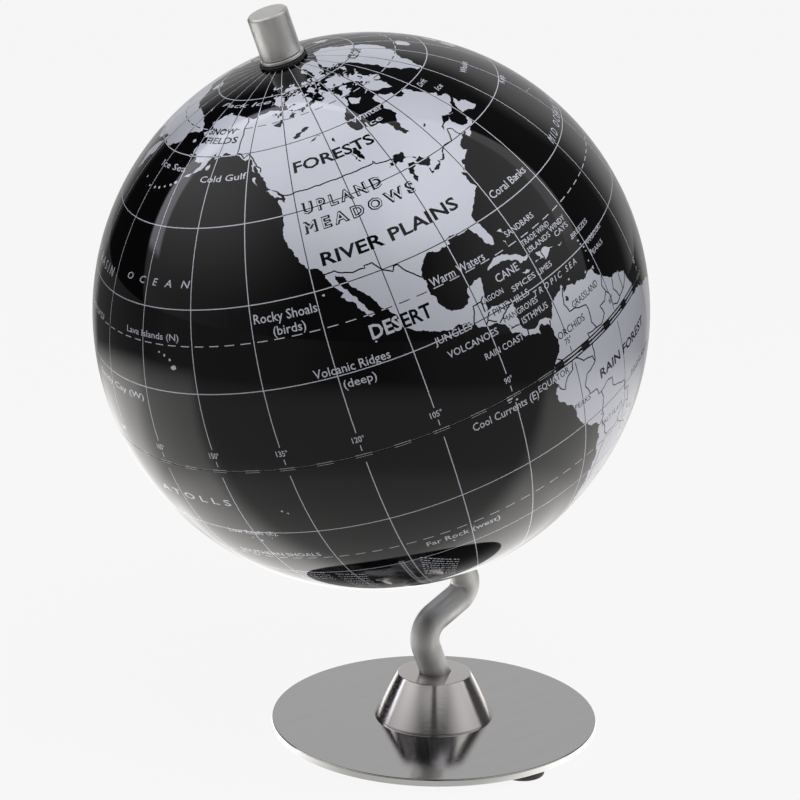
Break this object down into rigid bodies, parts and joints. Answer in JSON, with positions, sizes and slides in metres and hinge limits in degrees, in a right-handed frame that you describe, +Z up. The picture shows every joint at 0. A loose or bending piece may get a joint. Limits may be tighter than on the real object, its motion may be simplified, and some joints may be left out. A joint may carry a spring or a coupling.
{
  "type": "desktop globe on stand",
  "caption": "Desk globe: a glossy dark ball with a silver map, turning on a tilted bent steel rod set in a conical collar on a round steel plate with foot pads.",
  "frame": {"origin": "on the table, straight below the centre of the ball, which is the bottom centre of the bounding box", "axes": "+Z up; the ball's polar axis lies in the XZ plane with its north end leaning 23.5 degrees from +Z towards -X; the base plate's centre is 17.5 mm towards +X; +Y completes a right-handed frame"},
  "size_m": [0.106, 0.106, 0.1482],
  "materials": {
    "globe_print": "gloss black lacquer over a metallic silver print",
    "white_plastic": "natural moulded nylon",
    "brushed_steel": "satin brushed",
    "screw_steel": "bright zinc-plated",
    "dark_rubber": "matt"
  },
  "bodies": {
    "stand": {"axis_rod": "brushed_steel", "stand_collar": "brushed_steel", "collar_set_screw": "screw_steel", "base_plate": "brushed_steel", "base_screw_1": "screw_steel", "base_screw_2": "screw_steel", "base_screw_3": "screw_steel", "foot_pad_1": "dark_rubber", "foot_pad_2": "dark_rubber", "foot_pad_3": "dark_rubber", "retaining_clip": "screw_steel", "thrust_washer": "white_plastic", "friction_washer": "dark_rubber", "cap_washer": "brushed_steel", "pole_cap": "brushed_steel"},
    "globe": {"north_hemisphere": "globe_print", "south_hemisphere": "globe_print", "seam_ring": "white_plastic", "north_bushing": "white_plastic", "south_bushing": "white_plastic"}
  },
  "joints": [
    {"name": "globe_spin", "type": "hinge", "parent": "stand", "child": "globe", "pos_m": [0, 0, 0.08965], "axis": [-0.3987, 0, 0.9171], "continuous": true}
  ]
}
